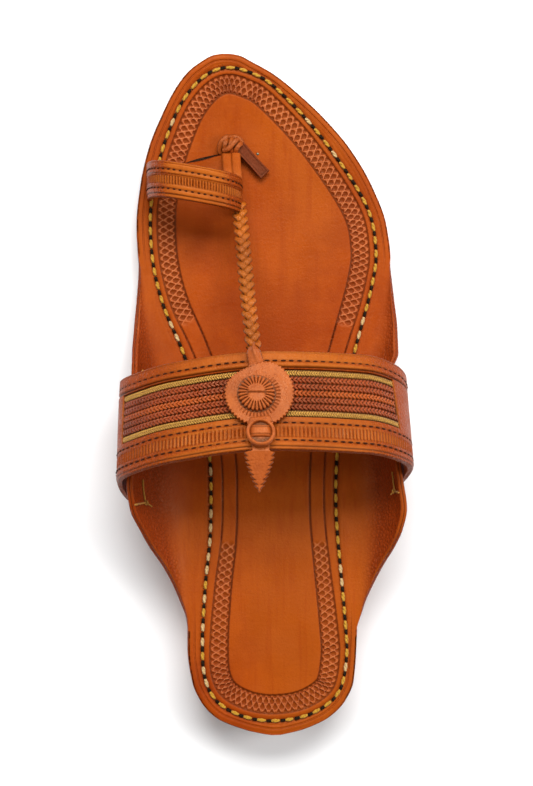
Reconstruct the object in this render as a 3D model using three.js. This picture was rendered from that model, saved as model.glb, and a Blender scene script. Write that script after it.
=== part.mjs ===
// Kolhapuri sandal for the right foot, in millimetres.
// While it is built, X runs to the outer side of the foot, Y from the back of the heel to the toe
// and Z up from the floor. The last lines move the origin to the middle of the footprint.
import * as THREE from "three";
import { mergeVertices } from "three/addons/utils/BufferGeometryUtils.js";

// ---- Driving dimensions ----
const LENGTH = 286;
const GAP = 0.3; // between pieces that touch
const HEEL_HEIGHT = 12;
const HEEL_BREAST = 72; // front of the heel block, from the back of the heel
const HEEL_INSET = 1;
const OUTSOLE_THICKNESS = 7;
const INSOLE_THICKNESS = 3;
const EAR_START_INSET = 1.6; // how far inside the outsole edge an ear leaves the flat
const STRAIGHT = 1e-3; // an ear that turns less than this, in radians, is flat
const BAND_THICKNESS = 2.6;
const BAND_TOE_EDGE = { centre: -1.6, halfWidth: 59.6, base: 29, rise: 32 };
const BAND_HEEL_EDGE = { centre: -1.7, halfWidth: 61.3, base: 37, rise: 39 };
const TOE_STRAP = {
  thickness: 2.2,
  width: 15,
  medial: -50.2,
  lateral: -9.8,
  rise: 27,
  medialY: 232,
  lateralY: 225.2,
  squareness: 0.64,
};
const BRAID = { width: 6.2, thickness: 3.6 };
const MEDALLION = { x: -6.3, y: 141.8, radius: 13.6, thickness: 1.4 };
const ROSETTE = { x: -7.4, y: 140.9, radius: 6.9, thickness: 1.8 };
const KEEPER = { x: -6.2, y: 125.6, radius: 5.2, thickness: 2 };
const LEAF_THICKNESS = 1.3;
const LEAF_LEAVES_BAND = 119.2; // where the leaf passes the band's heel edge
const LEAF_DROOP = 0.08;
const KNOT = { x: -14.8, y: 247.3, lift: 3.4, radii: [5.1, 4.1, 3] };

const COLOURS = {
  sole: 0x8a4317,
  insole: 0xb8561c,
  band: 0xc4682a,
  braid: 0xb35a22,
  trim: 0xc26a35,
  thong: 0x6e3722,
};

// ---- Tables: one row for each section ----
// Outline of the sole where it meets the floor layers: a narrow waist between heel and forefoot.
const SOLE_OUTLINE = [
  { y: 0, medial: 1.6, lateral: 5.6 },
  { y: 0.6, medial: -2, lateral: 8.8 },
  { y: 2.4, medial: -9.4, lateral: 16 },
  { y: 7.3, medial: -21, lateral: 26.4 },
  { y: 14, medial: -27.4, lateral: 33 },
  { y: 22, medial: -31, lateral: 36.5 },
  { y: 36, medial: -32.9, lateral: 37.7 },
  { y: 52, medial: -32.8, lateral: 38.2 },
  { y: 80, medial: -30, lateral: 36 },
  { y: 108, medial: -29.2, lateral: 35.6 },
  { y: 135, medial: -33.4, lateral: 39 },
  { y: 160, medial: -40.6, lateral: 44.6 },
  { y: 180, medial: -48.6, lateral: 51 },
  { y: 200, medial: -53.6, lateral: 54 },
  { y: 215, medial: -54.4, lateral: 52.2 },
  { y: 231, medial: -52.8, lateral: 46.2 },
  { y: 247, medial: -49.2, lateral: 36.5 },
  { y: 260, medial: -44, lateral: 25 },
  { y: 270, medial: -39, lateral: 13.8 },
  { y: 278, medial: -33.2, lateral: 3.2 },
  { y: 283, medial: -26.8, lateral: -6.2 },
  { y: 285.3, medial: -22.4, lateral: -11 },
  { y: LENGTH, medial: -18.7, lateral: -14.7 },
];

// Height of the sole's underside: heel seat, arch, flat forefoot and toe spring.
const UNDERSIDE = [
  { y: 0, z: HEEL_HEIGHT + GAP },
  { y: 45, z: HEEL_HEIGHT + GAP },
  { y: 72, z: 11 },
  { y: 110, z: 6 },
  { y: 148, z: 1 },
  { y: 164, z: 0 },
  { y: 218, z: 0 },
  { y: 250, z: 1.8 },
  { y: LENGTH, z: 7 },
];

// The ears of the top layer: how far they reach from the centre line and how far they rise.
const EARS = [
  { y: 44, medial: -32.9, medialRise: 0, lateral: 37.9, lateralRise: 0 },
  { y: 50, medial: -34.2, medialRise: 0.4, lateral: 40.2, lateralRise: 0.4 },
  { y: 56, medial: -36.6, medialRise: 1.4, lateral: 42.3, lateralRise: 1.4 },
  { y: 63, medial: -39.6, medialRise: 3.4, lateral: 45.4, lateralRise: 3.2 },
  { y: 71, medial: -44, medialRise: 7, lateral: 49.2, lateralRise: 7 },
  { y: 79, medial: -49.4, medialRise: 12, lateral: 53.4, lateralRise: 12 },
  { y: 86, medial: -53.2, medialRise: 16.5, lateral: 56, lateralRise: 16.5 },
  { y: 95, medial: -57.4, medialRise: 21, lateral: 57.6, lateralRise: 19.5 },
  { y: 106, medial: -58.8, medialRise: 24, lateral: 56.2, lateralRise: 20.5 },
  { y: 122, medial: -58.8, medialRise: 24.5, lateral: 54.6, lateralRise: 18 },
  { y: 138, medial: -57.9, medialRise: 21.5, lateral: 51.5, lateralRise: 12.5 },
  { y: 150, medial: -56.8, medialRise: 17, lateral: 52.2, lateralRise: 9.5 },
  { y: 155, medial: -56.7, medialRise: 14.4, lateral: 55, lateralRise: 8.5 },
  { y: 160, medial: -56.6, medialRise: 11.5, lateral: 57, lateralRise: 7.5 },
  { y: 170, medial: -55.8, medialRise: 6, lateral: 57, lateralRise: 4.5 },
  { y: 182, medial: -54.7, medialRise: 2.5, lateral: 56, lateralRise: 2.5 },
  { y: 192, medial: -53.9, medialRise: 0.8, lateral: 55, lateralRise: 0.8 },
  { y: 200, medial: -53.6, medialRise: 0, lateral: 54, lateralRise: 0 },
];

// Where the two edges of the instep band lie along the foot, by angle round the arch.
const BAND_EDGES = [
  { angle: -22, toeY: 146, heelY: 98 },
  { angle: 0, toeY: 147.5, heelY: 106 },
  { angle: 25, toeY: 150.5, heelY: 110.5 },
  { angle: 50, toeY: 155, heelY: 115.5 },
  { angle: 90, toeY: 159.5, heelY: 120.5 },
  { angle: 130, toeY: 158.3, heelY: 118.8 },
  { angle: 155, toeY: 154, heelY: 115 },
  { angle: 180, toeY: 148, heelY: 110.5 },
  { angle: 202, toeY: 145, heelY: 103 },
];

// Half-widths of the leather leaf that runs from the braid's end to the toothed tip.
const LEAF = [
  { y: 166, half: 1.2 },
  { y: 160, half: 2.6 },
  { y: 152, half: 3.7 },
  { y: 142, half: 5 },
  { y: 120, half: 5 },
  { y: 119, half: 5.2 },
  { y: 103.3, half: 0.5 },
];

// The braid's centre line, from the toe strap's heel edge to the band's toe edge.
const BRAID_PATH = [
  { x: -11.5, y: 216.2, z: 25.8 },
  { x: -10.3, y: 200, z: 37 },
  { x: -9.1, y: 182, z: 49 },
  { x: -8, y: 167, z: 58.5 },
];

// The two ends of the thong and the loop that ties them to the toe strap.
const THONG_TAILS = [
  { name: "tail_lateral", from: { x: -9.6, y: 245.3, lift: 1.4 }, to: { x: 0, y: 235.2, lift: 1 }, width: 5 },
  { name: "tail_medial", from: { x: -18.2, y: 239.2, lift: 1 }, to: { x: -32.5, y: 235.8, lift: 1 }, width: 8 },
];
const TAIL_THICKNESS = 1.3;
const TIE_LOOP = { from: { x: -14.3, y: 234.2, z: 23.5 }, to: { x: -14.6, y: 241.6, z: 17.2 }, width: 7.4, thickness: 2.4 };

// ---- Numbers ----
const radians = THREE.MathUtils.degToRad;
const mix = THREE.MathUtils.lerp;

// Monotone cubic through a table's rows: no overshoot, and level between two equal values.
function along(table, key, at, column) {
  const rows = [...table].sort((a, b) => a[key] - b[key]);
  const last = rows.length - 1;
  const x = Math.min(Math.max(at, rows[0][key]), rows[last][key]);
  const slopes = rows.slice(1).map((r, i) => (r[column] - rows[i][column]) / (r[key] - rows[i][key]));
  const tangent = (i) => {
    if (i === 0) return slopes[0];
    if (i === last) return slopes[last - 1];
    const [a, b] = [slopes[i - 1], slopes[i]];
    return a * b <= 0 ? 0 : (2 * a * b) / (a + b);
  };
  const found = rows.findIndex((r) => x <= r[key]);
  const i = Math.max(0, found - 1);
  const step = rows[i + 1][key] - rows[i][key];
  const t = (x - rows[i][key]) / step;
  const [p, q] = [rows[i][column], rows[i + 1][column]];
  const [m, n] = [tangent(i) * step, tangent(i + 1) * step];
  const [t2, t3] = [t * t, t * t * t];
  return (2 * t3 - 3 * t2 + 1) * p + (t3 - 2 * t2 + t) * m + (3 * t2 - 2 * t3) * q + (t3 - t2) * n;
}

// Evenly spaced values from a to b, both included.
function spread(a, b, count) {
  return Array.from({ length: count }, (_, i) => mix(a, b, i / (count - 1)));
}

// ---- Solids from grids of points ----
// Closed solid between two grids of the same size: top faces out, bottom faces in.
function slab(top, bottom) {
  const rows = top.length;
  const columns = top[0].length;
  const positions = [...top.flat(), ...bottom.flat()].flatMap((p) => [p.x, p.y, p.z]);
  const index = [];
  const up = (i, j) => i * columns + j;
  const down = (i, j) => rows * columns + up(i, j);
  const quad = (a, b, c, d) => index.push(a, b, c, a, c, d);
  for (let i = 0; i < rows - 1; i++) {
    for (let j = 0; j < columns - 1; j++) {
      quad(up(i, j), up(i, j + 1), up(i + 1, j + 1), up(i + 1, j));
      quad(down(i, j), down(i + 1, j), down(i + 1, j + 1), down(i, j + 1));
    }
    quad(up(i, 0), up(i + 1, 0), down(i + 1, 0), down(i, 0));
    quad(up(i + 1, columns - 1), up(i, columns - 1), down(i, columns - 1), down(i + 1, columns - 1));
  }
  for (let j = 0; j < columns - 1; j++) {
    quad(up(0, j + 1), up(0, j), down(0, j), down(0, j + 1));
    quad(up(rows - 1, j), up(rows - 1, j + 1), down(rows - 1, j + 1), down(rows - 1, j));
  }
  return outward(positions, index);
}

// Closed tube through rings of points, with a flat fan at each end.
function tube(rings) {
  const sides = rings[0].length;
  const middle = (ring) => ring.reduce((sum, p) => sum.add(p), new THREE.Vector3()).divideScalar(sides);
  const ends = [middle(rings[0]), middle(rings.at(-1))];
  const positions = [...rings.flat(), ...ends].flatMap((p) => [p.x, p.y, p.z]);
  const index = [];
  const at = (i, j) => i * sides + (j % sides);
  const [first, final] = [rings.length * sides, rings.length * sides + 1];
  for (let i = 0; i < rings.length - 1; i++) {
    for (let j = 0; j < sides; j++) {
      index.push(at(i, j), at(i, j + 1), at(i + 1, j + 1), at(i, j), at(i + 1, j + 1), at(i + 1, j));
    }
  }
  for (let j = 0; j < sides; j++) {
    index.push(first, at(0, j + 1), at(0, j));
    index.push(final, at(rings.length - 1, j), at(rings.length - 1, j + 1));
  }
  return outward(positions, index);
}

// A geometry whose faces point out, whichever way its grid ran.
function outward(positions, index) {
  const geometry = new THREE.BufferGeometry();
  geometry.setAttribute("position", new THREE.Float32BufferAttribute(positions, 3));
  const corner = (i) => new THREE.Vector3().fromArray(positions, 3 * index[i]);
  let volume = 0;
  for (let i = 0; i < index.length; i += 3) {
    volume += corner(i).dot(corner(i + 1).cross(corner(i + 2)));
  }
  geometry.setIndex(volume < 0 ? index.toReversed() : index);
  geometry.computeVertexNormals();
  return geometry;
}

// Unit square to unit disc, so that a round piece is a grid too.
function disc(u, v) {
  return [u * Math.sqrt(1 - (v * v) / 2), v * Math.sqrt(1 - (u * u) / 2)];
}

// ---- Sole ----
const underside = (y) => along(UNDERSIDE, "y", y, "z");
const insoleBottom = (y) => underside(y) + OUTSOLE_THICKNESS + GAP;
const insoleTop = (y) => insoleBottom(y) + INSOLE_THICKNESS;
const soleEdge = (y, side) => along(SOLE_OUTLINE, "y", y, side);

// Stations along the sole, closer together at heel and toe, where the outline turns fast.
function stations(from, to, count) {
  return spread(0, Math.PI, count).map((a) => mix(from, to, (1 - Math.cos(a)) / 2));
}

function block(ys, inset, bottomZ, topZ) {
  const edge = (y) => [soleEdge(y, "medial") + inset, soleEdge(y, "lateral") - inset];
  const layer = (height) => ys.map((y) => spread(...edge(y), 4).map((x) => new THREE.Vector3(x, y, height(y))));
  return slab(layer(topZ), layer(bottomZ));
}

function outsoleGeometry() {
  return block(stations(0, LENGTH, 45), 0, underside, (y) => underside(y) + OUTSOLE_THICKNESS);
}

function heelGeometry() {
  const ys = spread(0, Math.PI / 2, 19).map((a) => mix(HEEL_INSET, HEEL_BREAST, 1 - Math.cos(a)));
  return block(ys, HEEL_INSET, () => 0, (y) => underside(y) - GAP);
}

// One side of a top-layer section: its outer and inner faces, from the flat to the edge.
// The ear is an arc of a circle that leaves the flat level and ends at its reach and rise.
function sideSection(y, side) {
  const sign = side === "medial" ? -1 : 1;
  const flat = soleEdge(y, side);
  const inEars = y > EARS[0].y && y < EARS.at(-1).y;
  const reach = inEars ? along(EARS, "y", y, side) : flat;
  const rise = inEars ? along(EARS, "y", y, side + "Rise") : 0;
  const start = flat - sign * EAR_START_INSET;
  const run = sign * (reach - start);
  const turn = 2 * Math.atan2(rise, run);
  const radius = turn > STRAIGHT ? run / Math.sin(turn) : 0;
  return spread(0, 1, 7).map((t) => {
    const angle = t * turn;
    const out = radius ? radius * Math.sin(angle) : t * run;
    const up = insoleBottom(y) + radius * (1 - Math.cos(angle));
    const outer = new THREE.Vector3(start + sign * out, y, up);
    const normal = new THREE.Vector3(-sign * Math.sin(angle), 0, Math.cos(angle));
    return { outer, inner: outer.clone().addScaledVector(normal, INSOLE_THICKNESS) };
  });
}

function insoleGeometry() {
  const sections = stations(0, LENGTH, 57).map((y) => {
    const medial = sideSection(y, "medial").reverse();
    return [...medial, ...sideSection(y, "lateral")];
  });
  const face = (name) => sections.map((section) => section.map((p) => p[name]));
  return slab(face("inner"), face("outer"));
}

// ---- Instep band ----
// A point on the band's outer face: angle round the arch, and 0 at the toe edge to 1 at the heel edge.
function bandPoint(angle, across) {
  const arch = (name) => mix(BAND_TOE_EDGE[name], BAND_HEEL_EDGE[name], across);
  const y = mix(along(BAND_EDGES, "angle", angle, "toeY"), along(BAND_EDGES, "angle", angle, "heelY"), across);
  const x = arch("centre") - arch("halfWidth") * Math.cos(radians(angle));
  return new THREE.Vector3(x, y, arch("base") + arch("rise") * Math.sin(radians(angle)));
}

function bandNormal(angle, across) {
  const around = bandPoint(angle + 0.5, across).sub(bandPoint(angle - 0.5, across));
  const over = bandPoint(angle, across - 0.02).sub(bandPoint(angle, across + 0.02));
  return around.cross(over).normalize();
}

function bandFace(angles, lift) {
  return angles.map((angle) =>
    spread(0, 1, 4).map((across) => bandPoint(angle, across).addScaledVector(bandNormal(angle, across), lift)),
  );
}

function bandGeometry() {
  const angles = spread(BAND_EDGES[0].angle, BAND_EDGES.at(-1).angle, 41);
  return slab(bandFace(angles, 0), bandFace(angles, -BAND_THICKNESS));
}

// The point over a place in plan, a given lift off the band's outer face.
function overBand(x, y, lift) {
  let across = 0.5;
  let angle = 90;
  for (let pass = 0; pass < 8; pass++) {
    const centre = mix(BAND_TOE_EDGE.centre, BAND_HEEL_EDGE.centre, across);
    const half = mix(BAND_TOE_EDGE.halfWidth, BAND_HEEL_EDGE.halfWidth, across);
    angle = 180 - THREE.MathUtils.radToDeg(Math.acos((x - centre) / half));
    const toeY = along(BAND_EDGES, "angle", angle, "toeY");
    across = (toeY - y) / (toeY - along(BAND_EDGES, "angle", angle, "heelY"));
  }
  return bandPoint(angle, across).addScaledVector(bandNormal(angle, across), lift);
}

// A round piece that follows the band, between two lifts.
function onBand({ x, y, radius, thickness }, lift) {
  const steps = spread(-1, 1, 9);
  const face = (height) =>
    steps.map((v) =>
      steps.map((u) => {
        const [du, dv] = disc(u, v);
        return overBand(x + radius * du, y + radius * dv, height);
      }),
    );
  return slab(face(lift + thickness), face(lift));
}

const LEAF_LIFT = GAP;
const MEDALLION_LIFT = LEAF_LIFT + LEAF_THICKNESS + GAP;
const ROSETTE_LIFT = MEDALLION_LIFT + MEDALLION.thickness + GAP;

// The leaf lies on the band, and its tip runs on past the band's heel edge, drooping a little.
function leafPoint(x, y, lift) {
  const onBandY = Math.max(y, LEAF_LEAVES_BAND);
  const past = onBandY - y;
  return overBand(x, onBandY, lift).add(new THREE.Vector3(0, -past, -LEAF_DROOP * past));
}

function leafGeometry() {
  const [first, last] = [LEAF[0].y, LEAF.at(-1).y];
  const face = (lift) =>
    spread(first, last, 25).map((y) => {
      const half = along(LEAF, "y", y, "half");
      return spread(-half, half, 3).map((dx) => leafPoint(MEDALLION.x + dx, y, lift));
    });
  return slab(face(LEAF_LIFT + LEAF_THICKNESS), face(LEAF_LIFT));
}

// ---- Toe strap, braid and knot ----
const toeStrapMiddle = (x) => {
  const t = (x - TOE_STRAP.medial) / (TOE_STRAP.lateral - TOE_STRAP.medial);
  return mix(TOE_STRAP.medialY, TOE_STRAP.lateralY, t);
};

// The loop over the big toe, from the medial edge of the insole to its slot beside the toe.
function toeStrapPoint(t, y, inset) {
  const centre = (TOE_STRAP.medial + TOE_STRAP.lateral) / 2;
  const half = (TOE_STRAP.lateral - TOE_STRAP.medial) / 2 - inset;
  const bend = (value) => Math.sign(value) * Math.abs(value) ** TOE_STRAP.squareness;
  const x = centre - half * bend(Math.cos(t * Math.PI));
  const place = y + toeStrapMiddle(x);
  const foot = insoleTop(place) + GAP;
  return new THREE.Vector3(x, place, foot + (TOE_STRAP.rise - inset) * bend(Math.sin(t * Math.PI)));
}

function toeStrapGeometry() {
  const face = (inset) =>
    spread(0, 1, 25).map((t) =>
      spread(-TOE_STRAP.width / 2, TOE_STRAP.width / 2, 3).map((dy) => toeStrapPoint(t, dy, inset)),
    );
  return slab(face(0), face(TOE_STRAP.thickness));
}

function braidGeometry() {
  const curve = new THREE.CatmullRomCurve3(BRAID_PATH.map((p) => new THREE.Vector3(p.x, p.y, p.z)));
  const sides = spread(0, 2 * Math.PI, 13).slice(0, -1);
  const rings = spread(0, 1, 19).map((t) => {
    const across = new THREE.Vector3(1, 0, 0);
    const up = across.clone().cross(curve.getTangent(t).negate()).normalize();
    return sides.map((a) =>
      curve
        .getPoint(t)
        .addScaledVector(across, (BRAID.width / 2) * Math.cos(a))
        .addScaledVector(up, (BRAID.thickness / 2) * Math.sin(a)),
    );
  });
  return tube(rings);
}

function knotGeometry() {
  const geometry = new THREE.SphereGeometry(1, 14, 9);
  geometry.scale(...KNOT.radii);
  geometry.deleteAttribute("normal");
  geometry.deleteAttribute("uv");
  return mergeVertices(geometry);
}

// A short flat strip between two ends, each {x, y, z}, level across its width.
function stripGeometry(from, to, width, thickness) {
  const run = new THREE.Vector3(to.x - from.x, to.y - from.y, to.z - from.z);
  const side = new THREE.Vector3(-run.y, run.x, 0).normalize();
  const face = (lift) =>
    spread(0, 1, 4).map((t) =>
      spread(-width / 2, width / 2, 2).map((offset) =>
        new THREE.Vector3(from.x, from.y, from.z + lift).addScaledVector(run, t).addScaledVector(side, offset),
      ),
    );
  return slab(face(thickness), face(0));
}

// ---- Scene graph ----
function piece(name, geometry, colour, roughness = 0.45) {
  const mesh = new THREE.Mesh(geometry, new THREE.MeshStandardMaterial({ color: colour, roughness, metalness: 0 }));
  mesh.name = name;
  return mesh;
}

const sandal = new THREE.Group();
sandal.add(piece("outsole", outsoleGeometry(), COLOURS.sole, 0.6));
sandal.add(piece("heel", heelGeometry(), COLOURS.sole, 0.6));
sandal.add(piece("insole", insoleGeometry(), COLOURS.insole));
sandal.add(piece("instep_band", bandGeometry(), COLOURS.band));
sandal.add(piece("toe_strap", toeStrapGeometry(), COLOURS.band));
sandal.add(piece("braid", braidGeometry(), COLOURS.braid));
sandal.add(piece("leaf", leafGeometry(), COLOURS.trim));
sandal.add(piece("medallion", onBand(MEDALLION, MEDALLION_LIFT), COLOURS.trim));
sandal.add(piece("rosette", onBand(ROSETTE, ROSETTE_LIFT), COLOURS.trim));
sandal.add(piece("keeper", onBand(KEEPER, ROSETTE_LIFT), COLOURS.trim));

const knotFloor = insoleTop(KNOT.y);
const knot = piece("knot", knotGeometry(), COLOURS.braid);
knot.position.set(KNOT.x, KNOT.y, knotFloor + KNOT.lift);
sandal.add(knot);
sandal.add(piece("tie_loop", stripGeometry(TIE_LOOP.from, TIE_LOOP.to, TIE_LOOP.width, TIE_LOOP.thickness), COLOURS.trim));
for (const tail of THONG_TAILS) {
  const end = ({ x, y, lift }) => ({ x, y, z: knotFloor + lift });
  const geometry = stripGeometry(end(tail.from), end(tail.to), tail.width, TAIL_THICKNESS);
  sandal.add(piece(tail.name, geometry, COLOURS.thong));
}

const box = new THREE.Box3().setFromObject(sandal);
sandal.position.set(-(box.min.x + box.max.x) / 2, -(box.min.y + box.max.y) / 2, -box.min.z);

export default sandal;
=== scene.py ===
"""Kolhapuri sandal for the right foot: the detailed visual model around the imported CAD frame.

Shapes are worked out in design millimetres: X to the outer side of the foot, Y from the back of
the heel to the toe, Z up from the floor. build() turns them into the frame's metres.
"""

import math

import bpy
import numpy as np
from mathutils import Matrix, Vector


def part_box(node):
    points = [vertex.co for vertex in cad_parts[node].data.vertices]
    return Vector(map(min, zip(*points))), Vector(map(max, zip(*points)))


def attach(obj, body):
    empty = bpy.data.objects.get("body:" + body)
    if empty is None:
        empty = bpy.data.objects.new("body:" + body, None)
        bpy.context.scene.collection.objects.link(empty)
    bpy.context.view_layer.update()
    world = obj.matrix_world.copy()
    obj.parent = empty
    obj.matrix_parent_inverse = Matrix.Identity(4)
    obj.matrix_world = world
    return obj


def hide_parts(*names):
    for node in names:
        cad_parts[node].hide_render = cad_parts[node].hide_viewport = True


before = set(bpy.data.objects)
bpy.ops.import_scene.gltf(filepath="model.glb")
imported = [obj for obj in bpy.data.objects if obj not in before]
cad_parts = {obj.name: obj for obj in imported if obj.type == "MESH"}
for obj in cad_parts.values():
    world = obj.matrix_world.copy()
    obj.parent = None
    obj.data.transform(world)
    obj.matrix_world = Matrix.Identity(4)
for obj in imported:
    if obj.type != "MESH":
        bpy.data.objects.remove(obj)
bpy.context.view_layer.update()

# ---------------------------------------------------------------- driving sizes, millimetres
MM = 0.001
LENGTH = 286
OUTSOLE_MEDIAL = -54.4  # widest point of the outsole on the inner side
HEEL_HEIGHT = 12
HEEL_BREAST = 72
HEEL_INSET = 1
GAP = 0.3
OUTSOLE_THICKNESS = 7
INSOLE_THICKNESS = 3
EAR_START_INSET = 1.6
BAND_THICKNESS = 2.6
BAND_TOE_EDGE = {"centre": -1.6, "half_width": 59.6, "base": 29, "rise": 32}
BAND_HEEL_EDGE = {"centre": -1.7, "half_width": 61.3, "base": 37, "rise": 39}
BAND_WIDTH = 42
TOE_STRAP = {
    "thickness": 2.2,
    "width": 15,
    "medial": -50.2,
    "lateral": -9.8,
    "rise": 27,
    "medial_y": 232,
    "lateral_y": 225.2,
    "squareness": 0.64,
}
MEDALLION = {"x": -6.3, "y": 141.8, "radius": 13.6, "thickness": 1.4}
ROSETTE = {"x": -7.4, "y": 140.9, "radius": 6.9, "thickness": 1.8}
KEEPER = {"x": -6.2, "y": 125.6, "radius": 5.2, "thickness": 2}
LEAF_THICKNESS = 1.3
LEAF_LEAVES_BAND = 119.2
LEAF_DROOP = 0.08
LEAF_LIFT = GAP
MEDALLION_LIFT = LEAF_LIFT + LEAF_THICKNESS + 0.1
ROSETTE_LIFT = MEDALLION_LIFT + MEDALLION["thickness"]
LEAF_LEAN = 1.7  # how far the leaf's neck leans to meet the braid

# ---------------------------------------------------------------- tables, a row for each section
def table(*rows):
    return np.array(rows)


SOLE_OUTLINE = table(
    # y, medial, lateral
    (0, 1.6, 5.6),
    (0.6, -2, 8.8),
    (2.4, -9.4, 16),
    (7.3, -21, 26.4),
    (14, -27.4, 33),
    (22, -31, 36.5),
    (36, -32.9, 37.7),
    (52, -32.8, 38.2),
    (80, -30, 36),
    (108, -29.2, 35.6),
    (135, -33.4, 39),
    (160, -40.6, 44.6),
    (180, -48.6, 51),
    (200, -53.6, 54),
    (215, -54.4, 52.2),
    (231, -52.8, 46.2),
    (247, -49.2, 36.5),
    (260, -44, 25),
    (270, -39, 13.8),
    (278, -33.2, 3.2),
    (283, -26.8, -6.2),
    (285.3, -22.4, -11),
    (LENGTH, -18.7, -14.7),
)
UNDERSIDE = table(
    # y, z
    (0, HEEL_HEIGHT + GAP),
    (45, HEEL_HEIGHT + GAP),
    (72, 11),
    (110, 6),
    (148, 1),
    (164, 0),
    (218, 0),
    (250, 1.8),
    (LENGTH, 7),
)
EARS = table(
    # y, medial reach, medial rise, lateral reach, lateral rise
    (44, -32.9, 0, 37.9, 0),
    (50, -34.2, 0.4, 40.2, 0.4),
    (56, -36.6, 1.4, 42.3, 1.4),
    (63, -39.6, 3.4, 45.4, 3.2),
    (71, -44, 7, 49.2, 7),
    (79, -49.4, 12, 53.4, 12),
    (86, -53.2, 16.5, 56, 16.5),
    (95, -57.4, 21, 57.6, 19.5),
    (106, -58.8, 24, 56.2, 20.5),
    (122, -58.8, 24.5, 54.6, 18),
    (138, -57.9, 21.5, 51.5, 12.5),
    (150, -56.8, 17, 52.2, 9.5),
    (155, -56.7, 14.4, 55, 8.5),
    (160, -56.6, 11.5, 57, 7.5),
    (170, -55.8, 6, 57, 4.5),
    (182, -54.7, 2.5, 56, 2.5),
    (192, -53.9, 0.8, 55, 0.8),
    (200, -53.6, 0, 54, 0),
)
BAND_EDGES = table(
    # angle round the arch, y of the toe edge, y of the heel edge
    (-22, 146, 98),
    (0, 147.5, 106),
    (25, 150.5, 110.5),
    (50, 155, 115.5),
    (90, 159.5, 120.5),
    (130, 158.3, 118.8),
    (155, 154, 115),
    (180, 148, 110.5),
    (202, 145, 103),
)
LEAF = table(
    # y, half width, from the tip to the braid's end
    (103.3, 0.3),
    (118.8, 5.2),
    (119.5, 3.4),
    (130, 4.5),
    (146, 7),
    (150.5, 5),
    (153.5, 3.2),
    (157, 3),
    (160, 2.2),
    (161.8, 1.4),
)
STITCH_PATH = table(
    # x, y of the sole stitching, clockwise from the toe
    (-16.9, 280.3),
    (-6, 278.2),
    (4.9, 271.7),
    (24.3, 251.6),
    (42.9, 224.4),
    (47.6, 205),
    (45.8, 188.6),
    (38.9, 162.5),
    (32.6, 137),
    (30, 112),
    (29.5, 96),
    (30.1, 81.5),
    (32.9, 47.8),
    (33.5, 32.1),
    (30.1, 17.4),
    (18.9, 8.9),
    (4.4, 6.0),
    (-9.3, 7.8),
    (-20.6, 14.1),
    (-25.9, 24.2),
    (-26.9, 40),
    (-25.6, 63.6),
    (-23.7, 81.5),
    (-23.2, 98),
    (-23.6, 115),
    (-27.4, 138),
    (-34.6, 160),
    (-43, 180),
    (-47.6, 199.4),
    (-48.4, 221.1),
    (-45, 240.2),
    (-41.6, 251.6),
    (-35.4, 265.7),
    (-26.7, 276.1),
)
BRAID_PATH = table(
    # x, y, z from the toe strap to the leaf
    (-11.9, 222.5, 22),
    (-11.4, 216, 27),
    (-10.6, 200, 37.5),
    (-9.7, 182, 49),
    (-8.7, 167, 58.8),
    (-8.2, 160.5, 62),
)

outsole_low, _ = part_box("outsole")
SHIFT = np.array([outsole_low.x / MM - OUTSOLE_MEDIAL, outsole_low.y / MM, 0.0])
rng = np.random.default_rng(seed=7)


# ---------------------------------------------------------------- numbers
def smooth_step(low, high, value):
    t = np.clip((value - low) / (high - low), 0, 1)
    return t * t * (3 - 2 * t)


def mix(a, b, t):
    return a + (b - a) * t


def along(table, at, column):
    """Monotone cubic through the table's rows, as in the CAD source."""
    x, y = table[:, 0], table[:, column]
    at = np.clip(np.asarray(at, float), x[0], x[-1])
    steps = np.diff(x)
    slopes = np.diff(y) / steps
    product = slopes[:-1] * slopes[1:]
    total = np.where(slopes[:-1] + slopes[1:] == 0, 1, slopes[:-1] + slopes[1:])
    inner = np.where(product > 0, 2 * product / total, 0)
    tangents = np.concatenate([slopes[:1], inner, slopes[-1:]])
    i = np.clip(np.searchsorted(x, at) - 1, 0, len(x) - 2)
    t = (at - x[i]) / steps[i]
    m, n = tangents[i] * steps[i], tangents[i + 1] * steps[i]
    t2, t3 = t * t, t * t * t
    curve = (2 * t3 - 3 * t2 + 1) * y[i] + (3 * t2 - 2 * t3) * y[i + 1]
    return curve + (t3 - 2 * t2 + t) * m + (t3 - t2) * n


def travelled(path):
    """Distance along a path to each of its points."""
    return np.concatenate([[0], np.cumsum(np.linalg.norm(np.diff(path, axis=0), axis=1))])


def spline(points, count, closed=False):
    """Catmull-Rom through the points, resampled at even steps of length."""
    points = np.asarray(points, float)
    if closed:
        ring = np.vstack([points[-1:], points, points[:2]])
    else:
        ring = np.vstack([2 * points[0] - points[1], points, 2 * points[-1] - points[-2]])
    pieces = []
    t = np.linspace(0, 1, 40, endpoint=False)[:, None]
    for a, b, c, d in zip(ring[:-3], ring[1:-2], ring[2:-1], ring[3:]):
        bend, twist = 2 * a - 5 * b + 4 * c - d, 3 * b - a - 3 * c + d
        pieces.append(0.5 * (2 * b + (c - a) * t + bend * t**2 + twist * t**3))
    dense = np.vstack([*pieces, points[:1] if closed else points[-1:]])
    return resampled(dense, count, endpoint=not closed)


def unit(vectors):
    return vectors / np.maximum(np.linalg.norm(vectors, axis=-1, keepdims=True), 1e-12)


def bell(distance, width):
    """1 where the distance is 0, fading smoothly to 0 on both sides."""
    return np.exp(-((distance / width) ** 2))


def groove(distance, width, depth):
    return -depth * bell(distance, width)


def grid(rows, columns):
    return np.meshgrid(rows, columns, indexing="ij")


def around(count):
    """Angles evenly spaced round a full turn."""
    return np.linspace(0, 2 * math.pi, count, endpoint=False)


def repeats(angle, count):
    """The angle in steps of which a full turn has this many."""
    return angle * count / (2 * math.pi)


def points_at(*coordinates):
    return np.stack(np.broadcast_arrays(*coordinates), axis=-1)


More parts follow.
